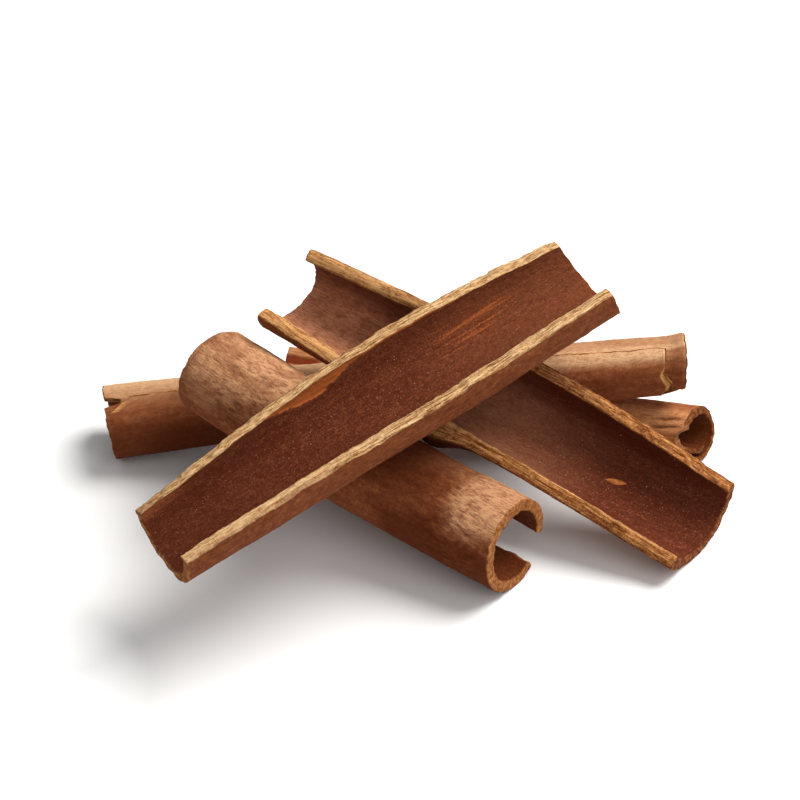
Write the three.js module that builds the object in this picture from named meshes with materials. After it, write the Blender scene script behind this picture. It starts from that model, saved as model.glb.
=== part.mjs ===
// A loose pile of five pieces of split, dried cinnamon bark.
// Two open troughs lie crosswise on top, over three rolled quills: one split
// along its far side, one rolled like a scroll, and one that lies on the table.
// Sizes are in millimetres, +Z is up, and the table is at z = 0.
import * as THREE from "three";

const TURN = 360;
const TABLE_SINK = 0.12;

// Each piece is a strip of bark bent round a straight, slightly bowed axis.
//   centre, heading, slope, roll   where the axis runs, and how the strip is turned about it
//   length, radii, height          overall length, outer radius along it, and height over width
//   lean                           how much wider the near half is than the far half
//   farEdge, nearEdge              the strip's two long edges, in degrees from straight below
//   bark                           bark thickness from the far edge to the near edge
//   bow                            sideways and upward bow at mid length
//   startSlant, endSlant           how far the two broken ends slant, sideways and upward
//   layerStep                      how far a scroll's inner layer is tucked under its outer one
//   spring                         the share of that step by which it springs out past the outer one's end
//   knot                           a bump on the outside: its place, spread and height
//   stations, facets               mesh rows along the axis and columns round the strip
const PIECES = {
  top_trough: {
    centre: [-4.6, -49.05, 42.935],
    heading: 33.35,
    slope: 12.588,
    roll: 6.4,
    length: 105,
    radii: [11.7, 13.44, 14.03, 12.48],
    height: 1.02,
    lean: 0,
    farEdge: [-79.7, -91.1, -87.8],
    nearEdge: [86.2, 84.2, 89.1],
    bark: [3.1, 2.5, 2.4, 2.5, 3.0],
    bow: [-0.84, 1.28],
    startSlant: [0.38, 1.32],
    endSlant: [-1.55, -3.84],
    layerStep: 0,
    spring: 0,
    stations: 44,
    facets: 12,
    seed: 1,
  },
  cross_trough: {
    centre: [20.55, -33.52, 27.843],
    heading: -24.04,
    slope: -18.147,
    roll: -20.6,
    length: 100.9,
    radii: [10.14, 11.59, 12.12, 12.36],
    height: 0.92,
    lean: 0.08,
    farEdge: [-134.6, -112.5, -81.1],
    nearEdge: [101.2, 77.8, 73.4],
    bark: [2.9, 2.4, 2.3, 2.5, 3.0],
    bow: [-0.91, 0.3],
    startSlant: [-2.61, -3.14],
    endSlant: [-2.08, -4.34],
    layerStep: 0,
    spring: 0,
    knot: { fraction: 0.43, degrees: 62, spread: 5.5, height: 3.6 },
    stations: 42,
    facets: 13,
    seed: 2,
  },
  split_quill: {
    centre: [-7.9, -42.88, 20.17],
    heading: -28.9,
    slope: -13.993,
    roll: 0,
    length: 75.8,
    radii: [9.83, 10.15, 10.26],
    height: 1,
    lean: 0,
    farEdge: [-30],
    nearEdge: [275, 277, 281],
    bark: [2.4, 2.7, 2.7, 2.7, 2.5],
    bow: [0.78, -0.84],
    startSlant: [-3.03, -2.28],
    endSlant: [-1.67, -3.5],
    layerStep: 0,
    spring: 0,
    stations: 28,
    facets: 18,
    seed: 3,
  },
  scroll_quill: {
    centre: [-1.3, -16.3, 16.211],
    heading: 1.16,
    slope: 6.59,
    roll: 0,
    length: 129.9,
    radii: [8.85, 7.75, 6.95],
    height: 1,
    lean: 0,
    farEdge: [-337],
    nearEdge: [165, 163, 161],
    bark: [1.2, 1.4, 1.5, 1.45, 1.3],
    bow: [-0.62, 0.65],
    startSlant: [1.4, 0.03],
    endSlant: [-0.36, 0.8],
    layerStep: 2,
    spring: 0.6,
    stations: 34,
    facets: 26,
    seed: 4,
  },
  back_quill: {
    centre: [20.6, -8.95, 6.65],
    heading: -13.4,
    slope: 0.19,
    roll: 0,
    length: 96.6,
    radii: [6.07, 6.31],
    height: 1,
    lean: 0,
    farEdge: [-8],
    nearEdge: [388],
    bark: [1.0, 1.7, 2.2, 1.15, 1.2],
    bow: [0.37, -0.46],
    startSlant: [0.6, 0],
    endSlant: [-2.4, -2.2],
    layerStep: 1.95,
    spring: 0,
    stations: 28,
    facets: 20,
    seed: 5,
  },
};

// How far the bark is broken back from each end, at a place round the strip.
// The scroll has a notch above its outer flap and a torn flap corner at the start,
// and its flap stops short of the far end. The back quill's near wall is broken away.
const BROKEN_BACK = {
  scroll_quill: {
    start: (angle) =>
      3.8 * plateau(angle, -202, -186, 4) + 6.2 * ramp(angle, 133, 163),
    end: (angle) =>
      4.7 * plateau(angle, 20, 200, 12) - 1.6 * plateau(angle, 60, 98, 14),
  },
  back_quill: {
    start: () => 0,
    end: (angle) => 2.2 * plateau(angle, 42, 128, 10),
  },
};

const BARK_COLOURS = {
  top_trough: 0x6e331d,
  cross_trough: 0x63301b,
  split_quill: 0x9a623c,
  scroll_quill: 0xa5683f,
  back_quill: 0x9c6038,
};

function ramp(value, from, to) {
  return THREE.MathUtils.clamp((value - from) / (to - from), 0, 1);
}

function plateau(value, from, to, shoulder) {
  return (
    THREE.MathUtils.smoothstep(value, from - shoulder, from + shoulder) *
    (1 - THREE.MathUtils.smoothstep(value, to - shoulder, to + shoulder))
  );
}

// A smooth curve through evenly spaced values, read at a fraction of its length.
function along(values, fraction) {
  if (values.length === 1) {
    return values[0];
  }
  const last = values.length - 1;
  const place = THREE.MathUtils.clamp(fraction, 0, 1) * last;
  const i = Math.min(Math.floor(place), last - 1);
  const f = place - i;
  const before = i > 0 ? values[i - 1] : 2 * values[0] - values[1];
  const after =
    i + 2 <= last ? values[i + 2] : 2 * values[last] - values[last - 1];
  const from = values[i];
  const to = values[i + 1];
  return (
    from +
    0.5 *
      f *
      (to -
        before +
        f *
          (2 * before -
            5 * from +
            4 * to -
            after +
            f * (3 * (from - to) + after - before)))
  );
}

// An uneven wave between about -1 and 1, for ragged edges and wrinkled bark.
function wave(x, seed) {
  return (
    0.5 * Math.sin(0.31 * x + 1.7 * seed) +
    0.3 * Math.sin(0.83 * x + 2.9 * seed) +
    0.2 * Math.sin(2.17 * x + 4.3 * seed)
  );
}

// The strip's outer line across the axis, as sideways and upward offsets.
// Sideways is towards the viewer's side, and an angle of 0 is straight below.
function outerLine(piece, fraction) {
  const distance = fraction * piece.length;
  const radius = along(piece.radii, fraction);
  const chip = (0.35 / radius) * THREE.MathUtils.RAD2DEG;
  const far =
    along(piece.farEdge, fraction) + chip * wave(2.1 * distance, piece.seed);
  const near =
    along(piece.nearEdge, fraction) -
    chip * wave(1.9 * distance, piece.seed + 7);
  const sprung = piece.spring * THREE.MathUtils.smoothstep(fraction, 0.965, 1);
  const step = piece.layerStep * (1 - sprung);
  const line = [];
  for (let i = 0; i <= piece.facets; i += 1) {
    const degrees = THREE.MathUtils.lerp(far, near, i / piece.facets);
    const angle = degrees * THREE.MathUtils.DEG2RAD;
    const turned = (along(piece.nearEdge, fraction) - degrees) / TURN;
    const tucked = step * THREE.MathUtils.smoothstep(turned, 0.66, 1);
    const wrinkle =
      0.12 * wave(7 * angle + 0.15 * distance, piece.seed + 3) +
      0.1 * wave(0.5 * distance + 2 * angle, piece.seed + 5);
    const reach = radius - tucked + wrinkle + 0.1;
    const sine = Math.sin(angle);
    line.push({
      degrees,
      side: reach * (sine + piece.lean * sine * sine),
      up: -reach * piece.height * Math.cos(angle),
    });
  }
  return line;
}

// The inner line: the outer one moved inwards by the bark's thickness.
function innerLine(piece, outer) {
  return outer.map((point, i) => {
    const before = outer[Math.max(i - 1, 0)];
    const after = outer[Math.min(i + 1, outer.length - 1)];
    const run = Math.hypot(after.side - before.side, after.up - before.up);
    const bark = along(piece.bark, i / piece.facets);
    return {
      degrees: point.degrees,
      side: point.side - (bark * (after.up - before.up)) / run,
      up: point.up + (bark * (after.side - before.side)) / run,
    };
  });
}

// Raises a round knot on the outer line, on pieces that have one.
function withKnot(piece, fraction, outer) {
  if (!piece.knot) {
    return outer;
  }
  const { knot } = piece;
  const ahead = (fraction - knot.fraction) * piece.length;
  return outer.map((point) => {
    const radius = Math.hypot(point.side, point.up);
    const aside = (point.degrees - knot.degrees) * THREE.MathUtils.DEG2RAD * radius;
    const rise = knot.height * Math.exp(-(ahead ** 2 + aside ** 2) / knot.spread ** 2);
    return {
      degrees: point.degrees,
      side: point.side * (1 + rise / radius),
      up: point.up * (1 + rise / radius),
    };
  });
}

// A rounded, slightly ridged long edge between the outer and the inner line.
function edgeRidge(outer, inner, neighbour, bulge) {
  const run = Math.hypot(outer.side - neighbour.side, outer.up - neighbour.up);
  return {
    degrees: outer.degrees,
    side:
      (outer.side + inner.side) / 2 +
      (bulge * (outer.side - neighbour.side)) / run,
    up: (outer.up + inner.up) / 2 + (bulge * (outer.up - neighbour.up)) / run,
  };
}

// One closed loop round the strip's thickness: outside, near edge, inside, far edge.
function stripLoop(piece, fraction) {
  const bark = outerLine(piece, fraction);
  const inner = innerLine(piece, bark);
  const outer = withKnot(piece, fraction, bark);
  const last = piece.facets;
  const ridge = 0.25 + 0.15 * wave(1.3 * fraction * piece.length, piece.seed);
  return [
    ...outer,
    edgeRidge(outer[last], inner[last], outer[last - 1], ridge),
    ...inner.reverse(),
    edgeRidge(outer[0], inner[inner.length - 1], outer[1], ridge),
  ];
}

function pieceAxes(piece) {
  const heading = piece.heading * THREE.MathUtils.DEG2RAD;
  const slope = piece.slope * THREE.MathUtils.DEG2RAD;
  const ahead = new THREE.Vector3(
    Math.cos(heading) * Math.cos(slope),
    Math.sin(heading) * Math.cos(slope),
    Math.sin(slope),
  );
  const side = new THREE.Vector3(Math.sin(heading), -Math.cos(heading), 0);
  const up = side.clone().cross(ahead);
  // A positive roll turns the near side up.
  const roll = -piece.roll * THREE.MathUtils.DEG2RAD;
  side.applyAxisAngle(ahead, roll);
  up.applyAxisAngle(ahead, roll);
  return { ahead, side, up };
}

// Where a point of the loop stands in the pile.
function placed(name, piece, axes, fraction, point) {
  const widest = Math.max(...piece.radii);
  const slantOf = (slant) =>
    (slant[0] * point.side + slant[1] * point.up) / widest;
  const broken = BROKEN_BACK[name];
  const frayed = 0.3 * wave(0.14 * point.degrees, piece.seed + 11);
  const start =
    -piece.length / 2 +
    slantOf(piece.startSlant) +
    Math.abs(frayed) +
    (broken ? broken.start(point.degrees) : 0);
  const end =
    piece.length / 2 +
    slantOf(piece.endSlant) -
    Math.abs(frayed) -
    (broken ? broken.end(point.degrees) : 0);
  const bowed = 1 - (2 * fraction - 1) ** 2;
  const spot = new THREE.Vector3(...piece.centre)
    .addScaledVector(axes.ahead, THREE.MathUtils.lerp(start, end, fraction))
    .addScaledVector(axes.side, point.side + piece.bow[0] * bowed)
    .addScaledVector(axes.up, point.up + piece.bow[1] * bowed);
  // What touches the table is worn to a small flat spot.
  spot.z = Math.max(spot.z, TABLE_SINK);
  return spot;
}

function barkGeometry(name, piece) {
  const axes = pieceAxes(piece);
  const around = 2 * piece.facets + 4;
  const positions = [];
  for (let row = 0; row <= piece.stations; row += 1) {
    const fraction = row / piece.stations;
    for (const point of stripLoop(piece, fraction)) {
      positions.push(...placed(name, piece, axes, fraction, point).toArray());
    }
  }
  const faces = [];
  const quad = (a, b, c, d) => faces.push(a, c, b, a, d, c);
  for (let row = 0; row < piece.stations; row += 1) {
    for (let i = 0; i < around; i += 1) {
      const next = (i + 1) % around;
      quad(
        row * around + i,
        row * around + next,
        (row + 1) * around + next,
        (row + 1) * around + i,
      );
    }
  }
  for (const first of [0, piece.stations * around]) {
    const cap = first === 0 ? (a, b, c, d) => quad(d, c, b, a) : quad;
    const inside = (i) => first + around - 2 - i;
    for (let i = 0; i < piece.facets; i += 1) {
      cap(first + i, first + i + 1, inside(i + 1), inside(i));
    }
    const corners = [
      [first + piece.facets, first + piece.facets + 1, inside(piece.facets)],
      [first, inside(0), first + around - 1],
    ];
    for (const [a, b, c] of corners) {
      faces.push(...(first === 0 ? [a, b, c] : [c, b, a]));
    }
  }
  const geometry = new THREE.BufferGeometry();
  geometry.setAttribute(
    "position",
    new THREE.Float32BufferAttribute(positions, 3),
  );
  geometry.setIndex(faces);
  geometry.computeVertexNormals();
  return geometry;
}

const pile = new THREE.Group();
pile.name = "cinnamon_bark_pile";
for (const [name, piece] of Object.entries(PIECES)) {
  const bark = new THREE.Mesh(
    barkGeometry(name, piece),
    new THREE.MeshStandardMaterial({
      color: BARK_COLOURS[name],
      roughness: 0.85,
      metalness: 0,
    }),
  );
  bark.name = name;
  pile.add(bark);
}

// The origin is under the middle of the pile, on the table.
const bounds = new THREE.Box3().setFromObject(pile);
const middle = bounds.getCenter(new THREE.Vector3());
for (const bark of pile.children) {
  bark.geometry.translate(-middle.x, -middle.y, -bounds.min.z);
}

export default pile;
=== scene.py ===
"""Looks for the loose stack of split, dried cinnamon bark.

Each CAD solid is replaced by a finely meshed strip of bark with the same section, ends and place. Its
wrinkles, fibres, chips and torn ends are in the mesh, and its colours come from node materials that read
a few masks stored on the vertices. Lengths are in millimetres until the mesh is written, and angles are in
degrees. On every strip, s runs along the piece, a from its far edge to its near edge, and w from its
inside to its outside, each from 0 to 1.
"""

import bpy
import numpy as np
from mathutils import Euler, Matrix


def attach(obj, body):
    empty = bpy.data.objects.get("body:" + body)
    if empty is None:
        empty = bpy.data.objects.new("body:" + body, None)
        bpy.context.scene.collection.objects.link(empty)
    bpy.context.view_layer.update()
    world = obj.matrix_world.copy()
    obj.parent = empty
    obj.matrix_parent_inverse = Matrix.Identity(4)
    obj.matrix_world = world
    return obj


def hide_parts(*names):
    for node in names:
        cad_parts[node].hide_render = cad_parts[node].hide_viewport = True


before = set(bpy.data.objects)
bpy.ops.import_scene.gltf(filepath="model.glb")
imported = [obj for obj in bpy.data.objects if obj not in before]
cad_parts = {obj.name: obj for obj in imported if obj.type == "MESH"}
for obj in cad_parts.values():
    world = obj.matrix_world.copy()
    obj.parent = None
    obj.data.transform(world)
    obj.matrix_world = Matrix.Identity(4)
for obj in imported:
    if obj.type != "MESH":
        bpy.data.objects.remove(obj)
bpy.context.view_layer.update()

MM = 0.001
TURN = 360.0

# The same strips of bark as in the solid model: where each axis runs, and how the strip is bent round it.
# Edges are in degrees from straight below, and bark is the wall's thickness from the far to the near edge.
# Rows and columns are the numbers of mesh cells along the strip and across it.
PIECES = {
    "top_trough": dict(
        centre=(-4.6, -49.05, 42.935), heading=33.35, slope=12.588, roll=6.4, length=105.0,
        radii=(11.7, 13.44, 14.03, 12.48), height=1.02, lean=0.0,
        far_edge=(-79.7, -91.1, -87.8), near_edge=(86.2, 84.2, 89.1), bark=(3.1, 2.5, 2.4, 2.5, 3.0),
        bow=(-0.84, 1.28), start_slant=(0.38, 1.32), end_slant=(-1.55, -3.84),
        layer_step=0.0, spring=0.0, seed=1, rows=310, columns=128,
    ),
    "cross_trough": dict(
        centre=(20.55, -33.52, 27.843), heading=-24.04, slope=-18.147, roll=-20.6, length=100.9,
        radii=(10.14, 11.59, 12.12, 12.36), height=0.92, lean=0.08,
        far_edge=(-134.6, -112.5, -81.1), near_edge=(101.2, 77.8, 73.4), bark=(2.9, 2.4, 2.3, 2.5, 3.0),
        bow=(-0.91, 0.3), start_slant=(-2.61, -3.14), end_slant=(-2.08, -4.34),
        layer_step=0.0, spring=0.0, seed=2, rows=300, columns=130,
    ),
    "split_quill": dict(
        centre=(-7.9, -42.88, 20.17), heading=-28.9, slope=-13.993, roll=0.0, length=75.8,
        radii=(9.83, 10.15, 10.26), height=1.0, lean=0.0,
        far_edge=(-30.0,), near_edge=(275.0, 277.0, 281.0), bark=(2.4, 2.7, 2.7, 2.7, 2.5),
        bow=(0.78, -0.84), start_slant=(-3.03, -2.28), end_slant=(-1.67, -3.5),
        layer_step=0.0, spring=0.0, seed=3, rows=196, columns=226,
    ),
    "scroll_quill": dict(
        centre=(-1.3, -16.3, 16.211), heading=1.16, slope=6.59, roll=0.0, length=129.9,
        radii=(8.85, 7.75, 6.95), height=1.0, lean=0.0,
        far_edge=(-337.0,), near_edge=(165.0, 163.0, 161.0), bark=(1.2, 1.4, 1.5, 1.45, 1.3),
        bow=(-0.62, 0.65), start_slant=(1.4, 0.03), end_slant=(-0.36, 0.8),
        layer_step=2.0, spring=0.6, seed=4, rows=300, columns=150,
    ),
    "back_quill": dict(
        centre=(20.6, -8.95, 6.65), heading=-13.4, slope=0.19, roll=0.0, length=96.6,
        radii=(6.07, 6.31), height=1.0, lean=0.0,
        far_edge=(-8.0,), near_edge=(388.0,), bark=(1.0, 1.7, 2.2, 1.15, 1.2),
        bow=(0.37, -0.46), start_slant=(0.6, 0.0), end_slant=(-2.4, -2.2),
        layer_step=1.95, spring=0.0, seed=5, rows=260, columns=140,
    ),
}
WALL_LAYERS = 9
# How far in from an edge its chips and torn bits still move the bark.
EDGE_ZONE = 1.8
# From the place of the pieces above to the shared frame, whose origin is under the middle of the stack.
STACK_SHIFT = np.array([-2.259, 39.352, -0.12])
# The round knot on the outside of the crossing trough.
KNOT = dict(fraction=0.43, degrees=62.0, spread=5.5, height=3.6)
# Odd numbers that mix a cell's whole numbers into one that looks random.
AXIS_PRIMES = (374761393, 668265263, 2246822519)
MIXING_PRIME = 1274126177
LARGEST_WORD = 0xFFFFFFFF


# ---------------------------------------------------------------- numbers


def smoothstep(x, low, high):
    """0 at low and 1 at high, with no corner at either. Low may be the larger of the two."""
    t = np.clip((x - low) / (high - low), 0.0, 1.0)
    return t * t * (3.0 - 2.0 * t)


def plateau(x, low, high, shoulder):
    """1 between low and high, falling smoothly to 0 within a shoulder's width outside."""
    risen = smoothstep(x, low - shoulder, low + shoulder)
    fallen = smoothstep(x, high - shoulder, high + shoulder)
    return risen * (1.0 - fallen)


def ramp(x, low, high):
    """0 at low and 1 at high, along a straight line."""
    return np.clip((x - low) / (high - low), 0.0, 1.0)


def along(values, fraction):
    """A smooth curve through evenly spaced values, read at a fraction of its length."""
    if len(values) == 1:
        return np.full_like(fraction, values[0])
    ends = [2 * values[0] - values[1], *values, 2 * values[-1] - values[-2]]
    knots = np.array(ends)
    last = len(values) - 1
    place = np.clip(fraction, 0.0, 1.0) * last
    i = np.minimum(place.astype(int), last - 1)
    f = place - i
    before, start, end, after = (knots[i + k] for k in range(4))
    cubic = 3.0 * (start - end) + after - before
    square = 2.0 * before - 5.0 * start + 4.0 * end - after
    return start + 0.5 * f * (end - before + f * (square + f * cubic))


def wave(x, seed):
    """The uneven wave of the solid model."""
    return (
        0.5 * np.sin(0.31 * x + 1.7 * seed)
        + 0.3 * np.sin(0.83 * x + 2.9 * seed)
        + 0.2 * np.sin(2.17 * x + 4.3 * seed)
    )


def slow_wave(x, seed):
    """The same wave without its shortest ripple, which chips and flakes stand in for."""
    return 0.5 * np.sin(0.31 * x + 1.7 * seed) + 0.15 * np.sin(0.83 * x + 2.9 * seed)


def lattice_value(cells, seed):
    """A repeatable value from 0 to 1 for each whole-numbered cell."""
    with np.errstate(over="ignore"):
        mixed = np.full(cells.shape[:-1], np.uint32(seed * 7919 + 17))
        for axis, prime in enumerate(AXIS_PRIMES):
            whole = (cells[..., axis].astype(np.int64) & LARGEST_WORD).astype(np.uint32)
            mixed = mixed ^ (whole * np.uint32(prime))
            mixed = (mixed ^ (mixed >> np.uint32(13))) * np.uint32(MIXING_PRIME)
            mixed = mixed ^ (mixed >> np.uint32(16))
    return mixed.astype(np.float64) / LARGEST_WORD


def noise(points, seed):
    """Smooth value noise from -1 to 1."""
    base = np.floor(points)
    f = points - base
    f = f * f * f * (f * (f * 6.0 - 15.0) + 10.0)
    total = np.zeros(len(points))
    for corner in np.ndindex(2, 2, 2):
        weight = np.ones(len(points))
        for axis in range(3):
            weight = weight * (f[:, axis] if corner[axis] else 1.0 - f[:, axis])
        total += weight * lattice_value(base + np.array(corner), seed)
    return 2.0 * total - 1.0


def rough(points, scale, seed, octaves=4, gain=0.55):
    """Noise in several octaves, from about -1 to 1. Scale is the bumps in a millimetre on each axis."""
    points = points * np.array(scale)
    total = np.zeros(len(points))
    size = 1.0
    full = 0.0
    for octave in range(octaves):
        total += size * noise(points, seed + 31 * octave)
        full += size
        points = points * 2.03
        size *= gain
    return total / (0.6 * full)


# ---------------------------------------------------------------- the strip of bark


def block_surface(rows, columns, layers):
    """The surface of a block of lattice points: their places as fractions, and quads that face outwards."""
    shape = (rows + 1, columns + 1, layers + 1)
    number = np.full(shape, -1, int)
    cells = np.indices(shape)
    outside = np.zeros(shape, bool)
    for axis in range(3):
        outside |= (cells[axis] == 0) | (cells[axis] == shape[axis] - 1)
    number[outside] = np.arange(outside.sum())
    fractions = [cells[axis][outside] / (shape[axis] - 1) for axis in range(3)]
    quads = []
    for axis in range(3):
        for last in (False, True):
            sheet = np.take(number, shape[axis] - 1 if last else 0, axis=axis)
            corners = [sheet[:-1, :-1], sheet[1:, :-1], sheet[1:, 1:], sheet[:-1, 1:]]
            if last == (axis == 1):
                corners.reverse()
            quads.append(np.stack([c.ravel() for c in corners], axis=1))
    return fractions, np.concatenate(quads)


def bent_outside(piece, s, degrees):
    """Sideways and upward offsets of the smooth outside of the bark."""
    angle = np.radians(degrees)
    distance = s * piece["length"]
    turned = (along(piece["near_edge"], s) - degrees) / TURN
    step = piece["layer_step"] * (1.0 - piece["spring"] * smoothstep(s, 0.965, 1.0))
    tucked = step * smoothstep(turned, 0.66, 1.0)
    wrinkle = 0.12 * wave(7.0 * angle + 0.15 * distance, piece["seed"] + 3)
    wrinkle += 0.1 * wave(0.5 * distance + 2.0 * angle, piece["seed"] + 5)
    reach = along(piece["radii"], s) - tucked + wrinkle + 0.1
    sine = np.sin(angle)
    return reach * (sine + piece["lean"] * sine * sine), -reach * piece["height"] * np.cos(angle)


def axes_of(piece):
    """The directions ahead along the piece, to the viewer's side of it, and up from it."""
    heading, slope, roll = (np.radians(piece[k]) for k in ("heading", "slope", "roll"))
    ahead = np.array([np.cos(heading) * np.cos(slope), np.sin(heading) * np.cos(slope), np.sin(slope)])
    flat_side = np.array([np.sin(heading), -np.cos(heading), 0.0])
    flat_up = np.cross(flat_side, ahead)
    side = np.cos(roll) * flat_side + np.sin(roll) * flat_up
    up = np.cos(roll) * flat_up - np.sin(roll) * flat_side
    return ahead, side, up


def broken_ends(name, degrees):
    """How far the bark is broken back from the start and from the end, as in the solid model."""
    none = np.zeros_like(degrees)
    if name == "scroll_quill":
        start = 3.8 * plateau(degrees, -202.0, -186.0, 4.0) + 6.2 * ramp(degrees, 133.0, 163.0)
        end = 4.7 * plateau(degrees, 20.0, 200.0, 12.0) - 1.6 * plateau(degrees, 60.0, 98.0, 14.0)
        return start, end
    if name == "back_quill":
        return none, 2.2 * plateau(degrees, 42.0, 128.0, 10.0)
    return none, none


class Strip:
    """One piece of bark, with every vertex's place on the strip and the masks that its material reads."""

    def __init__(self, name, s, a, w):
        self.name = name
        self.piece = PIECES[name]
        self.s = s
        self.a = a
        self.w = w
        piece = self.piece
        self.seed = piece["seed"]
        self.distance = s * piece["length"]
        radius = along(piece["radii"], s)
        chip = np.degrees(0.35 / radius)
        far = along(piece["far_edge"], s) + 0.6 * chip * slow_wave(2.1 * self.distance, self.seed)
        near = along(piece["near_edge"], s) - 0.6 * chip * slow_wave(1.9 * self.distance, self.seed + 7)
        self.degrees = far + (near - far) * a
        millimetres = np.radians(near - far) * radius
        self.from_far = a * millimetres
        self.from_near = (1.0 - a) * millimetres
        self.arc = np.radians(self.degrees) * radius
        self.wall = along(piece["bark"], a)
        self.grain = np.stack([self.distance, self.arc, (1.0 - w) * self.wall], axis=1)
        self.rim = np.maximum(a == 0.0, a == 1.0).astype(float)
        self.far_rim = self.rim * (a < 0.5)
        self.near_rim = self.rim * (a > 0.5)
        self.rim_shown = self.rim.copy()
        self.end = np.maximum(s == 0.0, s == 1.0).astype(float)
        self.inside = 1.0 - smoothstep(w, 0.0, 0.12)
        self.outside = smoothstep(w, 0.88, 1.0)
        zero = np.zeros_like(s)
        self.raised_outside = zero.copy()
        self.raised_inside = zero.copy()
        self.pushed_rim = zero.copy()
        self.pushed_end = zero.copy()
        # Pale, dark, red and light carry painted light and shade as well as the bark's own colours.
        self.masks = {key: zero.copy() for key in ("relief", "pale", "accent", "light", "dark", "red")}

    def section(self):
        """The sideways and upward offsets with wall, relief and edges."""
        side, up = bent_outside(self.piece, self.s, self.degrees)
        side_after, up_after = bent_outside(self.piece, self.s, self.degrees + 0.5)
        side_before, up_before = bent_outside(self.piece, self.s, self.degrees - 0.5)
        run = np.hypot(side_after - side_before, up_after - up_before)
        tangent = (side_after - side_before) / run, (up_after - up_before) / run
        depth = (1.0 - self.w) * (self.wall + self.raised_inside) - self.w * self.raised_outside
        side = side - depth * tangent[1]
        up = up + depth * tangent[0]
        push = self.pushed_rim * (self.near_weight() - self.far_weight())
        return side + push * tangent[0], up + push * tangent[1]

    def near_weight(self):
        """1 on the near edge, falling to 0 a little way in from it."""
        return np.clip(1.0 - self.from_near / EDGE_ZONE, 0.0, 1.0) ** 2

    def far_weight(self):
        """1 on the far edge, falling to 0 a little way in from it."""
        return np.clip(1.0 - self.from_far / EDGE_ZONE, 0.0, 1.0) ** 2

    def points(self):
        """Every vertex in the shared frame, in millimetres."""
        piece = self.piece
        ahead, side_axis, up_axis = axes_of(piece)
        side, up = self.section()
        if self.name == "cross_trough":
            side, up = self.knotted(side, up)
        widest = max(piece["radii"])
        frayed = np.abs(0.3 * wave(0.14 * self.degrees, self.seed + 11))
        broken_start, broken_end = broken_ends(self.name, self.degrees)
        start_slant = (piece["start_slant"][0] * side + piece["start_slant"][1] * up) / widest
        end_slant = (piece["end_slant"][0] * side + piece["end_slant"][1] * up) / widest
        start = -piece["length"] / 2 + start_slant + frayed + broken_start
        end = piece["length"] / 2 + end_slant - frayed - broken_end
        reach = start + (end - start) * self.s
        to_end = piece["length"] - self.distance
        end_weight = np.clip(1.0 - to_end / EDGE_ZONE, 0.0, 1.0) ** 2
        start_weight = np.clip(1.0 - self.distance / EDGE_ZONE, 0.0, 1.0) ** 2
        reach += self.pushed_end * (end_weight - start_weight)
        bowed = 1.0 - (2.0 * self.s - 1.0) ** 2
        places = np.array(piece["centre"]) + STACK_SHIFT
        places = places + np.outer(reach, ahead)
        places += np.outer(side + piece["bow"][0] * bowed, side_axis)
        places += np.outer(up + piece["bow"][1] * bowed, up_axis)
        places[:, 2] = np.maximum(places[:, 2], 0.0)
        return places

    def knotted(self, side, up):
        """The offsets with the wall swollen out over the knot."""
        radius = np.hypot(side, up)
        ahead = self.distance - KNOT["fraction"] * self.piece["length"]
        aside = np.radians(self.degrees - KNOT["degrees"]) * radius
        rise = self.w * KNOT["height"] * np.exp(-(ahead**2 + aside**2) / KNOT["spread"] ** 2)
        return side * (1.0 + rise / radius), up * (1.0 + rise / radius)


# ---------------------------------------------------------------- relief and masks of each piece


def common_relief(strip):
    """Grain on every face, fibres on the long edges and a torn surface on the ends."""
    w, grain, seed, on_rim = strip.w, strip.grain, strip.seed, strip.rim
    fibres = rough(grain, (0.16, 1.5, 1.5), seed + 2)
    grit = rough(grain, (1.3, 1.3, 1.3), seed + 1, octaves=2)
    strip.raised_outside += 0.03 * grit + 0.03 * fibres - 0.05
    strip.raised_inside += 0.05 * grit + 0.03 * fibres

    # The long edges are rounded, split into lengthwise layers, and flaked off along the outside.
    middle = 1.0 - (2.0 * w - 1.0) ** 2
    layers = rough(grain, (0.05, 0.0, 1.5), seed + 6)
    flakes = smoothstep(rough(grain, (0.5, 0.0, 0.0), seed + 41, octaves=3), 0.0, 0.4)
    strip.pushed_rim += on_rim * ((0.2 + 0.14 * layers) * middle + 0.07 * grit)
    strip.pushed_rim += 0.06 * rough(grain, (0.25, 0.0, 0.5), seed + 40) - 0.08
    rounding = on_rim * 0.12 * np.abs(2.0 * w - 1.0) ** 6
    strip.pushed_rim -= 0.24 * flakes * smoothstep(w, 0.7, 1.0) + rounding
    outline = on_rim * smoothstep(w, 0.9, 1.0)
    stained = smoothstep(rough(grain, (0.4, 0.0, 0.0), seed + 43), -0.5, 0.3)
    strip.masks["dark"] += 0.75 * outline * stained

    torn = rough(grain, (0.0, 0.8, 0.9), seed + 8)
    strip.pushed_end += 0.03 * torn - 0.1
    frayed = 0.06 * rough(grain, (0.0, 1.6, 1.9), seed + 9)
    rounded = 0.12 * (2.0 * w - 1.0) ** 6
    strip.pushed_end += strip.end * (frayed - rounded)
    strip.masks["relief"] += 0.5 + 0.15 * grit + 0.12 * fibres + on_rim * 0.25 * layers


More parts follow.
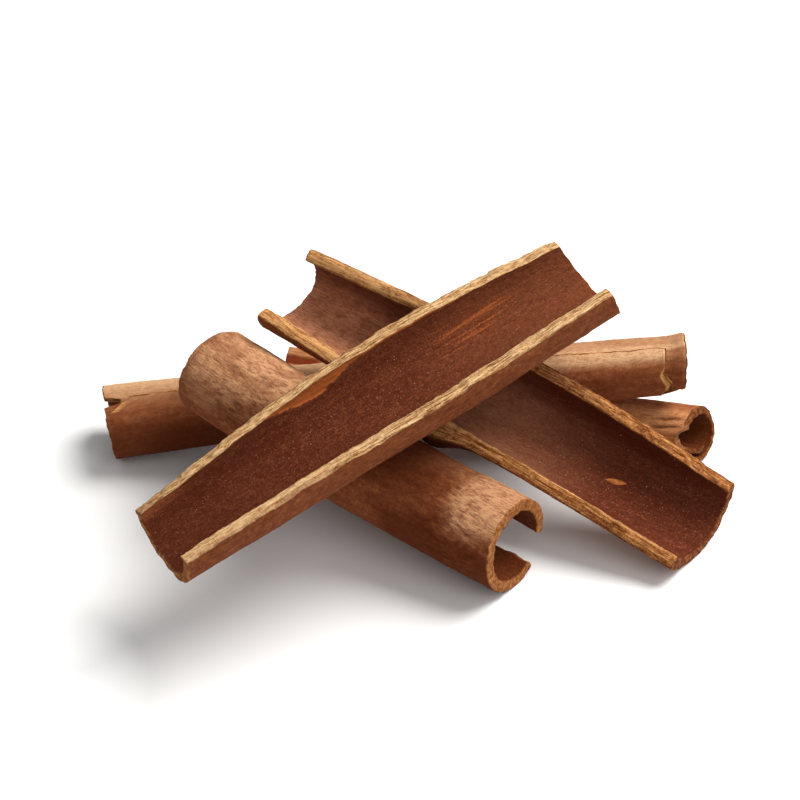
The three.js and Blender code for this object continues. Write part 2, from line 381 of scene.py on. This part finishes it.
def dress_top_trough(strip):
    """A shaved bevel under the far edge, rubbed streaks near the high end, and a dark inside."""
    s, inside = strip.s, strip.inside

    # The bevel is broad left of the middle and a thin line further up.
    bevel_width = 3.9 * plateau(s, 0.35, 0.475, 0.075) + 0.45 * plateau(s, 0.25, 1.1, 0.05)
    bevel_width += 0.4 * plateau(s, 0.5, 0.78, 0.06)
    ragged = 0.15 * rough(strip.grain, (0.5, 0.5, 0.5), 101)
    bevel = inside * smoothstep(bevel_width + ragged - strip.from_far, -0.1, 0.25)
    strip.raised_inside -= 0.35 * bevel * ramp(bevel_width, 0.6, 2.0)

    # Orange wood shows where the inside is rubbed, and in the corner at the low end.
    rubbed = plateau(s, 0.66, 0.86, 0.05) * plateau(strip.from_far, 5.5, 12.0, 1.6)
    strands = plateau(s, 0.58, 0.92, 0.06) * plateau(strip.from_far, 4.0, 15.0, 2.0)
    low_corner = 0.5 * plateau(s, -1.0, 0.12, 0.05) * plateau(strip.from_far, 0.2, 2.8, 0.5)
    worn = 0.27 * rubbed + 0.23 * strands + low_corner
    strip.masks["accent"] += np.clip(bevel + inside * worn, 0.0, 1.0)
    strip.raised_inside += 0.06 * rubbed

    # The inside pales along the near edge and towards the high end, and darkens towards the low end.
    lip = smoothstep(s, 0.2, 0.9) * smoothstep(strip.from_near, 5.0, 1.0)
    zone = smoothstep(s, 0.5, 0.88) * (0.35 + 0.3 * smoothstep(strip.from_near, 18.0, 4.0))
    under_edge = (0.15 + 0.4 * smoothstep(s, 0.14, 0.04)) * smoothstep(strip.from_far, 4.0, 1.0)
    strip.masks["pale"] += inside * np.maximum(np.maximum(0.9 * lip, zone), under_edge)
    strip.masks["dark"] += inside * 0.5 * smoothstep(s, 0.7, 0.05) * (1.0 - under_edge)

    # The far edge is golden brown at the low end and pales towards the high end, and the near edge is a
    # narrow smooth band at the low end.
    near_low = strip.near_rim * smoothstep(s, 0.5, 0.1)
    near_high = strip.near_rim * smoothstep(s, 0.6, 0.8)
    strip.rim_shown *= 1.0 - near_low * smoothstep(strip.w, 0.5, 0.62)
    strip.masks["accent"] += 0.66 * strip.far_rim * smoothstep(s, 0.34, 0.04)
    strip.masks["dark"] += 0.22 * strip.far_rim * smoothstep(s, 0.25, 0.0)
    strip.masks["light"] += 0.62 * near_low + 0.4 * near_high
    strip.masks["light"] += 0.5 * strip.far_rim * smoothstep(s, 0.55, 0.8)
    strip.masks["light"] += 0.3 * strip.end * (s < 0.5) * smoothstep(strip.degrees, 10.0, 60.0)

    # The outside is softly waved, and granular in its upper half.
    swell = rough(strip.grain, (0.05, 0.12, 0.12), 105)
    granular = rough(strip.grain, (0.5, 0.9, 0.9), 106)
    strip.raised_outside += 0.1 * swell + 0.05 * granular * smoothstep(s, 0.3, 0.7) - 0.06


def dress_cross_trough(strip):
    """A mottled inside, paler towards the high end, with painted light towards the near edge and painted
    shade under the far one.
    """
    s, inside, degrees = strip.s, strip.inside, strip.degrees

    # The inside, with painted light rising towards the near edge and painted shade under the far edge.
    mottled = rough(strip.grain, (0.2, 0.35, 0.35), 203)
    spots = smoothstep(rough(strip.grain, (0.35, 0.5, 0.5), 205), 0.25, 0.7)
    high_end = 1.0 - 0.62 * smoothstep(s, 0.12, 0.4) - 0.38 * smoothstep(s, 0.45, 0.8)
    across = 0.35 + 0.75 * smoothstep(degrees, -100.0, 0.0) + 0.5 * smoothstep(degrees, 20.0, 60.0)
    strip.masks["pale"] += inside * np.clip(high_end * (across + 0.25 * mottled), 0.0, 1.0)
    # Painted shade under the far edge, deeper away from the high end.
    under_edge = smoothstep(degrees, -38.0, -72.0) * (0.35 + 0.5 * smoothstep(s, 0.1, 0.6))
    strip.masks["dark"] += inside * np.maximum(under_edge, 0.4 * spots * (1.0 - smoothstep(s, 0.2, 0.45)))
    lumps = rough(strip.grain, (0.3, 0.6, 0.6), 204)
    strip.raised_inside += (0.06 + 0.1 * smoothstep(s, 0.35, 0.1)) * lumps

    # The outside is painted dark round the knot, as shade under top_trough.
    strip.masks["dark"] += strip.outside * 0.9 * plateau(s, 0.36, 0.52, 0.04)

    # The near edge is split into a pale ridge above and a brown band below.
    ridge = smoothstep(strip.w, 0.3, 0.12)
    strip.masks["light"] += strip.near_rim * np.maximum(0.6 * ridge, 0.6 * smoothstep(s, 0.4, 0.2))
    strip.masks["dark"] += 0.1 * strip.near_rim * smoothstep(strip.w, 0.4, 0.6)
    strip.pushed_rim += 0.16 * strip.near_rim * ridge

    # The far edge is pale at the high end and shaded in the middle.
    strip.masks["light"] += 0.85 * strip.far_rim * smoothstep(s, 0.45, 0.1)
    strip.masks["dark"] += 0.45 * strip.far_rim * plateau(s, 0.4, 0.68, 0.08)


def wrinkles(strip, scale, seed):
    """Short wavy wrinkles that run along the piece, from about -1 to 1."""
    warp = np.stack([rough(strip.grain, (0.3, 0.3, 0.3), seed + k, octaves=2) for k in range(3)], axis=1)
    return rough(strip.grain + 0.6 * warp, scale, seed + 9, octaves=3, gain=0.6)


def dress_split_quill(strip):
    """Wrinkled bark, pale above at both ends and dark between, partly as painted light and painted shadow.
    """
    s, outside, degrees = strip.s, strip.outside, strip.degrees

    # The wrinkles are deepest at the open end.
    folds = wrinkles(strip, (0.5, 1.6, 1.6), 300)
    depth = 0.3 + 0.6 * plateau(s, 0.12, 0.5, 0.06) + 1.1 * plateau(s, 0.8, 0.96, 0.04)
    swell = rough(strip.grain, (0.1, 0.15, 0.15), 320)
    strip.raised_outside += 0.1 * depth * folds + 0.1 * swell - 0.08
    # The wrinkles are painted into the colour too: painted shade in their troughs, painted light on their
    # crests.
    strip.masks["relief"] += outside * 0.35 * depth * folds

    # Pale on the upper side at the high end with brown blotches, in a faint band, and at the open end:
    # paler bark with painted light laid over it.
    turned = degrees + 14.0 * swell
    blotches = smoothstep(rough(strip.grain, (0.16, 0.3, 0.3), 330), 0.0, 0.5)
    high_end = (1.0 - smoothstep(s, 0.27, 0.37)) * smoothstep(turned, 80.0, 160.0)
    high_end *= 1.0 - 0.5 * blotches
    high_end *= 1.0 - 0.55 * smoothstep(s, 0.05, 0.0) * smoothstep(turned, 215.0, 170.0)
    band = 0.3 * plateau(s, 0.72, 0.86, 0.03) * smoothstep(turned, 160.0, 215.0)
    open_end = 0.9 * smoothstep(s, 0.82, 0.88) * smoothstep(turned, 96.0, 150.0)
    strip.masks["pale"] += outside * np.maximum(np.maximum(high_end, band), open_end)

    # Dark in the middle, as darker bark under a painted shadow of top_trough, with painted shade below and
    # dark all through the inside.
    fading = 0.8 - 0.25 * ramp(s, 0.66, 0.8)
    middle = plateau(s, 0.36, 0.8, 0.04) * plateau(turned, 125.0, 240.0, 12.0) * fading
    dark_until = 140.0 - 25.0 * smoothstep(s, 0.8, 0.9)
    below = smoothstep(s, 0.6, 0.7) * (1.0 - smoothstep(turned, 92.0, dark_until))
    strip.masks["dark"] += outside * np.maximum(middle, 0.9 * below)
    strip.masks["dark"] += 0.7 * strip.inside

    # A small tongue on the far edge, next to the open end.
    strip.pushed_rim += 0.5 * (strip.a < 0.5) * plateau(s, 0.93, 0.965, 0.02)


def dress_scroll_quill(strip):
    """Smooth bark with long soft streaks, painted light on top and painted shade below."""
    s, outside, inside = strip.s, strip.outside, strip.inside
    swell = rough(strip.grain, (0.035, 0.22, 0.22), 401)
    streaks = rough(strip.grain, (0.05, 0.9, 0.9), 402)
    strip.raised_outside += 0.1 * swell + 0.025 * streaks - 0.05
    strip.masks["relief"] += 0.12 * outside * streaks

    # Painted light: the left half is pale over the whole top, and the right half in a band along the crest.
    # Where the outer layer covers the inner one, the painted light and shade are weaker.
    turned = np.mod(strip.degrees, TURN) + 6.0 * swell
    far_side = 1.0 - smoothstep(turned, 240.0, 300.0)
    left = smoothstep(turned, 128.0, 222.0) * far_side
    behind_crest = 1.0 - 0.45 * smoothstep(turned, 172.0, 190.0)
    right = 0.9 * smoothstep(turned, 124.0, 150.0) * behind_crest * far_side
    rightness = smoothstep(s, 0.35, 0.65)
    inner_layer = smoothstep(strip.degrees, -188.0, -200.0)
    shown = 1.0 - 0.75 * inner_layer
    strip.masks["pale"] += outside * shown * (left + (right - left) * rightness)
    # Painted shade below, weaker on the right, deepened by a painted shadow just in from the left end.
    low = 1.0 - smoothstep(turned, 85.0, 150.0)
    below = np.maximum(low, smoothstep(turned, 280.0, 330.0)) * (1.0 - 0.75 * rightness)
    shadowed = 0.84 + 0.36 * smoothstep(s, 0.03, 0.14)
    strip.masks["dark"] += outside * shown * below * shadowed + 0.2 * inside

    # The flap's end is shaved to a pale crescent.
    to_end = (1.0 - s) * strip.piece["length"]
    shaved = 1.8 * plateau(strip.degrees, 52.0, 118.0, 22.0)
    crescent = outside * smoothstep(shaved - to_end, -0.1, 0.25)
    thinned = np.clip(1.0 - to_end / np.maximum(shaved, 0.01), 0.0, 1.0)
    strip.raised_outside -= 0.8 * strip.wall * outside * thinned
    strip.masks["light"] += crescent

    # The broken edge beside the seam at the left end is light too.
    seam = plateau(strip.degrees, 138.0, 156.0, 4.0) * smoothstep(s, 0.03, 0.0)
    strip.masks["light"] += 0.8 * outside * seam


def dress_back_quill(strip):
    """Fine lengthwise streaks, two cracks from the open end and a dent near the hidden one, painted dark
    red as shade.
    """
    s, outside, degrees = strip.s, strip.outside, strip.degrees
    streaks = rough(strip.grain, (0.06, 1.0, 1.0), 502)

    # The cracks, and the hollow at the hidden end.
    wander = 3.0 * rough(strip.grain, (0.2, 0.0, 0.0), 503, octaves=2)
    cracks = np.zeros_like(s)
    for middle, first in ((153.0, 0.93), (135.0, 0.92)):
        across = np.abs(degrees + wander - middle) / 4.0
        cracks = np.maximum(cracks, np.exp(-(across**2)) * plateau(s, first, 0.985, 0.02))
    dent = plateau(degrees, 152.0, 175.0, 4.0) * smoothstep(s, 0.11, 0.07)
    strip.raised_outside += 0.04 * streaks - 0.3 * cracks - 0.5 * dent - 0.04
    strip.masks["relief"] += 0.15 * outside * streaks - 0.6 * outside * cracks

    # Painted light along the top, painted shade below, painted shade in dark red in the dent, dark inside,
    # light on the broken edges, and a strip of painted light on top at the hidden end.
    crest = plateau(degrees + 5.0 * streaks, 128.0, 178.0, 10.0)
    strip.masks["pale"] += outside * 0.9 * crest * (1.0 - dent)
    strip.masks["red"] += outside * dent
    low = 0.6 * (1.0 - smoothstep(np.mod(degrees, TURN), 70.0, 125.0))
    strip.masks["dark"] += outside * np.maximum(0.8 * cracks, low) + 0.8 * strip.inside
    strip.masks["light"] += 0.45 * strip.end * plateau(degrees, 60.0, 150.0, 8.0) * (s > 0.5)
    strip.masks["light"] += 0.6 * outside * plateau(degrees, 178.0, 230.0, 4.0) * smoothstep(s, 0.06, 0.02)


DRESS = {
    "top_trough": dress_top_trough,
    "cross_trough": dress_cross_trough,
    "split_quill": dress_split_quill,
    "scroll_quill": dress_scroll_quill,
    "back_quill": dress_back_quill,
}


# ---------------------------------------------------------------- meshes


def add_mesh(name, points, faces, material):
    """A smooth-shaded piece from points in millimetres."""
    mesh = bpy.data.meshes.new(name)
    mesh.from_pydata((points * MM).tolist(), [], faces.tolist())
    mesh.polygons.foreach_set("use_smooth", np.ones(len(faces), bool))
    mesh.materials.append(material)
    mesh.update()
    piece = bpy.data.objects.new(name, mesh)
    bpy.context.scene.collection.objects.link(piece)
    return piece


def store_value(piece, name, values):
    """A value on every vertex, for the material to read."""
    attribute = piece.data.attributes.new(name, "FLOAT", "POINT")
    attribute.data.foreach_set("value", values.astype(np.float32))


def add_bark(name, material):
    """The dressed strip that takes the place of one solid."""
    rows, columns = PIECES[name]["rows"], PIECES[name]["columns"]
    (s, a, w), quads = block_surface(rows, columns, WALL_LAYERS)
    strip = Strip(name, s, a, w)
    common_relief(strip)
    DRESS[name](strip)
    piece = add_mesh(name + "_bark", strip.points(), quads, material)
    store_value(piece, "outside", strip.w)
    store_value(piece, "rim", strip.rim_shown)
    store_value(piece, "end", strip.end)
    for key, values in strip.masks.items():
        store_value(piece, key, np.clip(values, 0.0, 1.0))
    grain = piece.data.attributes.new("grain", "FLOAT_VECTOR", "POINT")
    grain.data.foreach_set("vector", strip.grain.astype(np.float32).ravel())
    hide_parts(name)
    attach(piece, "root")


# ---------------------------------------------------------------- materials


def srgb(red, green, blue):
    """A linear colour from the 0 to 255 values of a screen colour."""
    shares = [channel / 255.0 for channel in (red, green, blue)]
    return tuple(c / 12.92 if c <= 0.04045 else ((c + 0.055) / 1.055) ** 2.4 for c in shares) + (1.0,)


class Nodes:
    """Short ways to add the nodes that the bark materials use."""

    def __init__(self, name):
        self.material = bpy.data.materials.new(name)
        self.material.use_nodes = True
        self.tree = self.material.node_tree
        self.tree.nodes.clear()

    def add(self, kind, inputs=(), **settings):
        node = self.tree.nodes.new(kind)
        for key, value in settings.items():
            setattr(node, key, value)
        for socket, value in inputs:
            if isinstance(value, bpy.types.NodeSocket):
                self.tree.links.new(value, node.inputs[socket])
            else:
                node.inputs[socket].default_value = value
        return node

    def mask(self, name):
        """A value stored on the vertices."""
        return self.add("ShaderNodeAttribute", attribute_name=name).outputs["Fac"]

    def place(self):
        """Each point's place in the bark's own grain, in millimetres."""
        return self.add("ShaderNodeAttribute", attribute_name="grain").outputs["Vector"]

    def noise(self, place, scale, detail=5.0, roughness=0.6):
        """Noise around 0.5, with scale as the bumps in a unit of place on each axis."""
        scaled = self.add("ShaderNodeVectorMath", [(0, place), (1, scale)], operation="MULTIPLY")
        vector = scaled.outputs[0]
        inputs = [("Vector", vector), ("Scale", 1.0), ("Detail", detail), ("Roughness", roughness)]
        return self.add("ShaderNodeTexNoise", inputs).outputs["Fac"]

    def sum(self, *terms):
        """The sum of (value, factor) pairs."""
        total = 0.0
        for value, factor in terms:
            inputs = [(0, value), (1, factor), (2, total)]
            total = self.add("ShaderNodeMath", inputs, operation="MULTIPLY_ADD").outputs[0]
        return total

    def ramp(self, value, stops):
        """The colour that a value has between (position, colour) stops."""
        node = self.add("ShaderNodeValToRGB", [("Fac", value)])
        elements = node.color_ramp.elements
        while len(elements) < len(stops):
            elements.new(1.0)
        for element, (position, colour) in zip(elements, stops):
            element.position = position
            element.color = colour
        return node.outputs["Color"]

    def between(self, value, low, high):
        """0 below low, 1 above high."""
        inputs = [("Value", value), ("From Min", low), ("From Max", high)]
        return self.add("ShaderNodeMapRange", inputs, clamp=True).outputs["Result"]

    def mix(self, share, first, second):
        """The first colour where the share is 0, and the second where it is 1."""
        node = self.add("ShaderNodeMix", data_type="RGBA")
        for socket, value in ((0, share), (6, first), (7, second)):
            if isinstance(value, bpy.types.NodeSocket):
                self.tree.links.new(value, node.inputs[socket])
            else:
                node.inputs[socket].default_value = value
        return node.outputs[2]


# Screen colours. Lists run from dark to light; pale is paler bark and painted light, and deep is the colour
# of stained bark and painted shade. A spread is how far the grain has to stray to reach the darkest and the
# lightest tone. Crinkle deepens fine wrinkles.
INSIDE_SPREAD = 0.14
RIM_SPREAD = 0.085
END_SPREAD = 0.11
# Dark red painted as shade in back_quill's dent.
HOLLOW_SHADE_RED = (108, 38, 15)
PALETTES = {
    "top_trough": dict(
        outside=[(80, 38, 19), (112, 59, 33), (146, 88, 54)], outside_spread=0.13,
        inside=[(58, 24, 13), (89, 40, 23), (128, 72, 46)],
        rim=[(104, 58, 24), (182, 140, 94), (222, 186, 138)],
        end=[(80, 40, 16), (132, 78, 42), (184, 124, 70)],
        accent=(172, 92, 45), pale=[(112, 56, 32), (148, 88, 56)],
        light=[(172, 128, 82), (224, 186, 138)], deep=(58, 22, 10),
        crinkle=0.0, speck=(192, 144, 116),
    ),
    "cross_trough": dict(
        outside=[(78, 36, 15), (126, 72, 40), (170, 112, 70)], outside_spread=0.14,
        inside=[(56, 23, 12), (88, 40, 24), (124, 68, 44)],
        rim=[(86, 44, 18), (144, 88, 46), (198, 144, 90)],
        end=[(62, 28, 12), (108, 58, 30), (160, 104, 60)],
        accent=(170, 92, 42), pale=[(142, 85, 60), (192, 132, 98)],
        light=[(156, 102, 56), (214, 162, 106)], deep=(66, 20, 5),
        crinkle=0.0, speck=(190, 140, 118),
    ),
    "split_quill": dict(
        outside=[(80, 36, 16), (118, 63, 36), (156, 98, 62)], outside_spread=0.15,
        inside=[(66, 28, 12), (104, 54, 28), (140, 84, 50)],
        rim=[(94, 48, 22), (150, 94, 54), (196, 142, 92)],
        end=[(98, 52, 24), (144, 90, 50), (184, 128, 78)],
        accent=(176, 98, 44), pale=[(136, 82, 54), (196, 148, 108)],
        light=[(168, 116, 70), (216, 168, 116)], deep=(78, 31, 10),
        crinkle=1.4, speck=(170, 124, 92),
    ),
    "scroll_quill": dict(
        outside=[(98, 48, 24), (136, 76, 45), (172, 112, 72)], outside_spread=0.17,
        inside=[(76, 34, 15), (118, 62, 32), (152, 92, 54)],
        rim=[(92, 46, 20), (150, 92, 52), (200, 144, 94)],
        end=[(84, 42, 18), (130, 78, 42), (184, 126, 76)],
        accent=(196, 118, 56), pale=[(168, 120, 80), (214, 172, 130)],
        light=[(178, 116, 58), (218, 164, 102)], deep=(74, 27, 7),
        crinkle=0.0, speck=(176, 130, 96),
    ),
    "back_quill": dict(
        outside=[(102, 54, 28), (148, 88, 53), (182, 122, 78)], outside_spread=0.16,
        inside=[(58, 24, 9), (94, 46, 21), (128, 74, 42)],
        rim=[(72, 34, 14), (112, 62, 32), (160, 104, 64)],
        end=[(64, 30, 12), (102, 56, 27), (150, 96, 54)],
        accent=(186, 108, 50), pale=[(150, 94, 56), (204, 144, 98)],
        light=[(150, 98, 58), (198, 148, 100)], deep=(76, 32, 12),
        crinkle=0.2, speck=(170, 124, 88),
    ),
}


def speck_share(nodes, place):
    """Small round specks, most of them faint."""
    cells = nodes.add("ShaderNodeTexVoronoi", [("Vector", place), ("Scale", 1.5)])
    near_middle = nodes.between(cells.outputs["Distance"], 0.3, 0.12)
    chosen = nodes.between(cells.outputs["Color"], 0.45, 1.0)
    return nodes.add("ShaderNodeMath", [(0, near_middle), (1, chosen)], operation="MULTIPLY").outputs[0]


def bark_material(name):
    """Bark whose base tones come from its grain, and whose worn and stained parts come from the masks."""
    palette = PALETTES[name]
    nodes = Nodes(name + "_bark")
    place = nodes.place()
    relief = nodes.mask("relief")
    grit = nodes.noise(place, (2.4, 2.6, 2.6), detail=4.0, roughness=0.75)
    coarse = nodes.noise(place, (0.7, 0.9, 0.9), detail=4.0, roughness=0.6)
    streaks = nodes.noise(place, (0.09, 1.1, 1.1))
    patches = nodes.noise(place, (0.06, 0.14, 0.14), detail=3.0)
    fibres = nodes.noise(place, (0.18, 3.2, 3.2), detail=5.0, roughness=0.7)
    strands = nodes.noise(place, (0.05, 1.7, 1.7), detail=4.0, roughness=0.65)
    crinkles = nodes.noise(place, (0.7, 2.6, 2.6), detail=3.0, roughness=0.7)

    def toned(value, tones, positions):
        return nodes.ramp(value, [(at, srgb(*tone)) for at, tone in zip(positions, tones)])

    def three_tones(value, tones, spread):
        return toned(value, tones, (0.5 - spread, 0.5, 0.5 + spread))

    outside_tone = nodes.sum((grit, 0.35), (coarse, 0.15), (streaks, 0.15), (patches, 0.1), (relief, 0.25))
    inside_tone = nodes.sum((grit, 0.55), (coarse, 0.2), (streaks, 0.1), (patches, 0.15))
    rim_tone = nodes.sum((fibres, 0.6), (grit, 0.25), (coarse, 0.05), (relief, 0.1))
    end_tone = nodes.sum((grit, 0.4), (coarse, 0.5), (relief, 0.1))
    outside = three_tones(outside_tone, palette["outside"], palette["outside_spread"])
    inside = three_tones(inside_tone, palette["inside"], INSIDE_SPREAD)
    rim = three_tones(rim_tone, palette["rim"], RIM_SPREAD)
    end = three_tones(end_tone, palette["end"], END_SPREAD)
    speck = speck_share(nodes, place)
    inside = nodes.mix(nodes.sum((speck, 0.5)), inside, srgb(*palette["speck"]))

    def share_of(mask, grain_factor, low, high):
        """A mask whose soft borders are broken up by the grain."""
        broken = nodes.sum((mask, 1.0), (strands, grain_factor), (grit, 0.5 * grain_factor))
        offset = 0.75 * grain_factor
        return nodes.between(broken, low + offset, high + offset)

    pale_tone = nodes.sum((grit, 0.3), (relief, 0.2), (crinkles, 0.5))
    pale = toned(pale_tone, palette["pale"], (0.38, 0.56))
    light = toned(rim_tone, palette["light"], (0.44, 0.55))
    colour = nodes.mix(nodes.between(nodes.mask("outside"), 0.3, 0.7), inside, outside)
    # Pale: paler bark, and painted light on the quills' tops and the crossing trough's near side.
    colour = nodes.mix(nodes.mask("pale"), colour, pale)
    colour = nodes.mix(share_of(nodes.mask("accent"), 1.6, 0.5, 0.85), colour, srgb(*palette["accent"]))
    colour = nodes.mix(nodes.between(nodes.mask("rim"), 0.25, 0.75), colour, rim)
    colour = nodes.mix(nodes.between(nodes.mask("end"), 0.25, 0.75), colour, end)
    # Light: pale cut and broken edges, and a strip of painted light on back_quill's top.
    colour = nodes.mix(share_of(nodes.mask("light"), 0.6, 0.3, 0.8), colour, light)
    # Dark: stains and dark edges, and painted shade under the quills, under top_trough and under the
    # crossing trough's far edge.
    colour = nodes.mix(nodes.sum((nodes.mask("dark"), 0.85)), colour, srgb(*palette["deep"]))
    # Red: painted shade in back_quill's dent.
    colour = nodes.mix(nodes.sum((nodes.mask("red"), 0.9)), colour, srgb(*HOLLOW_SHADE_RED))

    height = nodes.sum((grit, 0.5), (fibres, 0.3), (crinkles, 0.4 + palette["crinkle"]), (speck, 0.3))
    bump = nodes.add("ShaderNodeBump", [("Height", height), ("Strength", 0.6), ("Distance", 0.0003)])
    shader = nodes.add(
        "ShaderNodeBsdfPrincipled",
        [
            ("Base Color", colour),
            ("Roughness", 0.85),
            ("Specular IOR Level", 0.05),
            ("Normal", bump.outputs["Normal"]),
        ],
    )
    nodes.add("ShaderNodeOutputMaterial", [("Surface", shader.outputs["BSDF"])])
    return nodes.material


# ---------------------------------------------------------------- loose bits lying in the troughs

# How far a crumb's middle is above the bark.
SMALL_CRUMB_LIFT = 0.04
LARGE_CRUMB_LIFT = 0.08


def spots_inside(name, s, degrees, lift):
    """Places on the inside of a piece, in millimetres, lifted off the bark."""
    piece = PIECES[name]
    far, near = along(piece["far_edge"], s), along(piece["near_edge"], s)
    strip = Strip(name, s, (degrees - far) / (near - far), np.zeros_like(s))
    strip.raised_inside += lift
    return strip.points()


def add_fleck():
    """A lens-shaped chip of bark in the crossing trough, lying a little askew."""
    (t, u, w), quads = block_surface(24, 10, 3)
    half_width = 0.85
    thickness_at_edge = 0.15
    rise_to_middle = 0.35
    gap_below = 0.02
    # Its tip on the trough, how far its other tip is from there, and which way its width points.
    tip_fraction, tip_degrees = 0.753, 1.5
    covered_fraction, covered_degrees = 0.043, -9.3
    width_ahead, width_aside = 0.42, 0.91
    trough_radius = 12.2
    from_middle = 2.0 * u - 1.0
    across = from_middle * half_width * np.sin(np.pi * np.clip(t, 0.02, 0.98)) ** 0.8
    s = tip_fraction + covered_fraction * t + width_ahead * across / PIECES["cross_trough"]["length"]
    degrees = tip_degrees + covered_degrees * t + np.degrees(width_aside * across / trough_radius)
    crown = np.sin(np.pi * t) * (1.0 - from_middle**2)
    lift = (1.0 - w) * (thickness_at_edge + rise_to_middle * crown) + gap_below
    points = spots_inside("cross_trough", s, degrees, lift)
    material = bit_material("loose_fleck", (128, 60, 24), (206, 124, 66))
    fleck = add_mesh("loose_fleck", points, quads, material)
    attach(fleck, "root")


def add_crumbs():
    """Small crumbs of bark scattered in both troughs, and three larger ones. Each has eight faces."""
    random = np.random.default_rng(12)
    corners = np.array([(1, 0, 0), (-1, 0, 0), (0, 1, 0), (0, -1, 0), (0, 0, 1), (0, 0, -1)], float)
    upper_faces = [(0, 2, 4), (2, 1, 4), (1, 3, 4), (3, 0, 4)]
    lower_faces = [(2, 0, 5), (1, 2, 5), (3, 1, 5), (0, 3, 5)]
    faces = np.array(upper_faces + lower_faces)

    def scattered(name, fractions, angles, count):
        s = random.uniform(*fractions, count)
        degrees = random.uniform(*angles, count)
        return spots_inside(name, s, degrees, SMALL_CRUMB_LIFT)

    def placed(name, fractions, angles):
        return spots_inside(name, np.array(fractions), np.array(angles), LARGE_CRUMB_LIFT)

    small = [
        scattered("top_trough", (0.04, 0.62), (-70.0, 55.0), 40),
        scattered("cross_trough", (0.55, 0.96), (-75.0, 50.0), 26),
    ]
    large = [
        placed("cross_trough", [0.87, 0.832], [-82.6, -18.9]),
        placed("top_trough", [0.584], [-62.2]),
    ]
    large_count = sum(len(spots) for spots in large)
    centres = np.concatenate(small + large)
    sizes = random.uniform(0.07, 0.18, (len(centres), 1, 1))
    sizes = sizes * random.uniform(0.6, 1.3, (len(centres), len(corners), 1))
    sizes[-large_count:] *= 1.5
    points = (centres[:, None, :] + sizes * corners).reshape(-1, 3)
    first_corners = np.arange(len(centres)) * len(corners)
    triangles = (first_corners[:, None, None] + faces).reshape(-1, 3)
    material = bit_material("loose_crumbs", (126, 74, 46), (208, 166, 126))
    crumbs = add_mesh("loose_crumbs", points, triangles, material)
    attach(crumbs, "root")


def bit_material(name, dark, light):
    """Plain broken bark for the loose bits, between two screen colours."""
    nodes = Nodes(name)
    place = nodes.add("ShaderNodeTexCoord").outputs["Object"]
    tone = nodes.noise(place, (420.0, 420.0, 420.0), detail=4.0)
    colour = nodes.ramp(tone, [(0.36, srgb(*dark)), (0.64, srgb(*light))])
    bump = nodes.add("ShaderNodeBump", [("Height", tone), ("Strength", 0.5), ("Distance", 0.0002)])
    shader = nodes.add(
        "ShaderNodeBsdfPrincipled",
        [
            ("Base Color", colour),
            ("Roughness", 0.8),
            ("Specular IOR Level", 0.1),
            ("Normal", bump.outputs["Normal"]),
        ],
    )
    nodes.add("ShaderNodeOutputMaterial", [("Surface", shader.outputs["BSDF"])])
    return nodes.material


# ---------------------------------------------------------------- stage


def add_floor():
    """A pale floor, a hair below the bark so that the two never lie in one plane."""
    half_side = 2.0
    turns = ((-1, -1), (1, -1), (1, 1), (-1, 1))
    corners = [(half_side * x, half_side * y, 0.0) for x, y in turns]
    mesh = bpy.data.meshes.new("floor")
    mesh.from_pydata(corners, [], [(0, 1, 2, 3)])
    material = bpy.data.materials.new("pale_floor")
    material.use_nodes = True
    shader = material.node_tree.nodes["Principled BSDF"]
    shader.inputs["Base Color"].default_value = (0.92, 0.92, 0.92, 1.0)
    shader.inputs["Roughness"].default_value = 0.9
    mesh.materials.append(material)
    floor = bpy.data.objects.new("floor", mesh)
    bpy.context.scene.collection.objects.link(floor)
    floor.location.z = -0.00005


def add_softbox(name, place, target, size, watts, colour):
    """A round area light at a place, turned towards the target."""
    light = bpy.data.lights.new(name, "AREA")
    light.shape = "DISK"
    light.size = size
    light.energy = watts
    light.color = colour
    lamp = bpy.data.objects.new(name, light)
    bpy.context.scene.collection.objects.link(lamp)
    lamp.location = place
    towards = np.array(target) - np.array(place)
    pitch = np.arctan2(np.hypot(towards[0], towards[1]), -towards[2])
    yaw = np.arctan2(-towards[0], towards[1])
    lamp.rotation_euler = Euler((pitch, 0.0, yaw))


def add_lights():
    """A key light from the back right, a weaker one from the front right, and an even white surround."""
    middle = (0.0, 0.0, 0.02)
    key_place = (0.42, 0.2, 0.72)
    fill_place = (0.45, -0.6, 0.75)
    add_softbox("key", key_place, middle, size=0.6, watts=10.5, colour=(1.0, 0.98, 0.95))
    add_softbox("front_fill", fill_place, middle, size=0.9, watts=3.0, colour=(1.0, 0.98, 0.96))
    world = bpy.data.worlds.new("studio")
    world.use_nodes = True
    background = world.node_tree.nodes["Background"]
    background.inputs["Color"].default_value = (1.0, 1.0, 1.0, 1.0)
    background.inputs["Strength"].default_value = 0.32
    bpy.context.scene.world = world


def add_camera():
    """The photograph's view: 40 degrees above the table, from 470 mm away."""
    elevation = np.radians(40.0)
    distance = 0.47
    target = STACK_SHIFT * MM
    data = bpy.data.cameras.new("camera")
    data.sensor_width = 36.0
    data.lens = 90.0
    camera = bpy.data.objects.new("camera", data)
    bpy.context.scene.collection.objects.link(camera)
    camera.location = target + distance * np.array([0.0, -np.cos(elevation), np.sin(elevation)])
    camera.rotation_euler = Euler((np.pi / 2 - elevation, 0.0, 0.0))
    bpy.context.scene.camera = camera


for node_name in PIECES:
    add_bark(node_name, bark_material(node_name))
add_fleck()
add_crumbs()
add_floor()
add_lights()
add_camera()
bpy.context.scene.view_settings.view_transform = "Standard"
bpy.context.view_layer.update()
